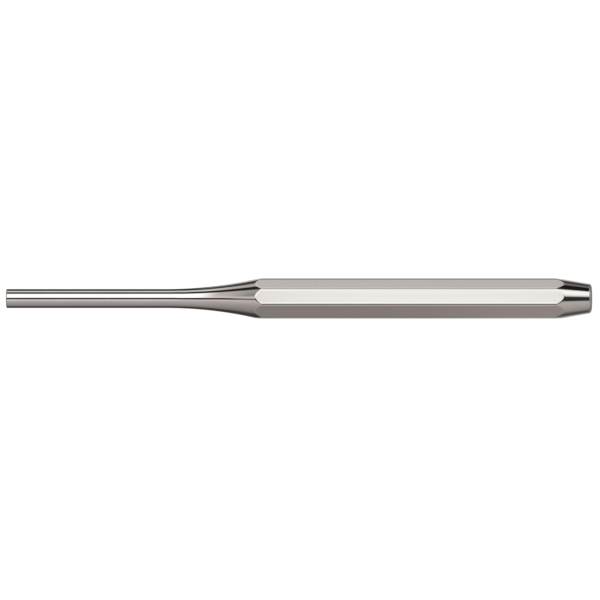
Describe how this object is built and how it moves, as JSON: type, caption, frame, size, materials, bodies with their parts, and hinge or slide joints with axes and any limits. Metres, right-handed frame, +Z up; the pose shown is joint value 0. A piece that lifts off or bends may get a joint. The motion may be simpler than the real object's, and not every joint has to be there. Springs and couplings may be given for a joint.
{
  "type": "pin punch",
  "caption": "Parallel pin punch: a straight round pin flares into an octagonal shank with a tapered striking head, for driving out pins under a hammer.",
  "frame": {"origin": "on the surface that the punch lies on, under the middle of its length", "axes": "+X along the tool's axis from the pin's tip to the struck head, +Z up, out of the flat opposite the one it lies on"},
  "size_m": [0.15, 0.01, 0.01],
  "materials": {
    "polished_chrome": "turned and polished steel, bright nickel-chrome plating",
    "ground_chrome": "flats ground lengthwise, then plated, so they keep a fine satin grain"
  },
  "bodies": {
    "root": {"pin": "polished_chrome", "neck": "polished_chrome", "shank": "ground_chrome", "head": "polished_chrome"}
  },
  "joints": []
}
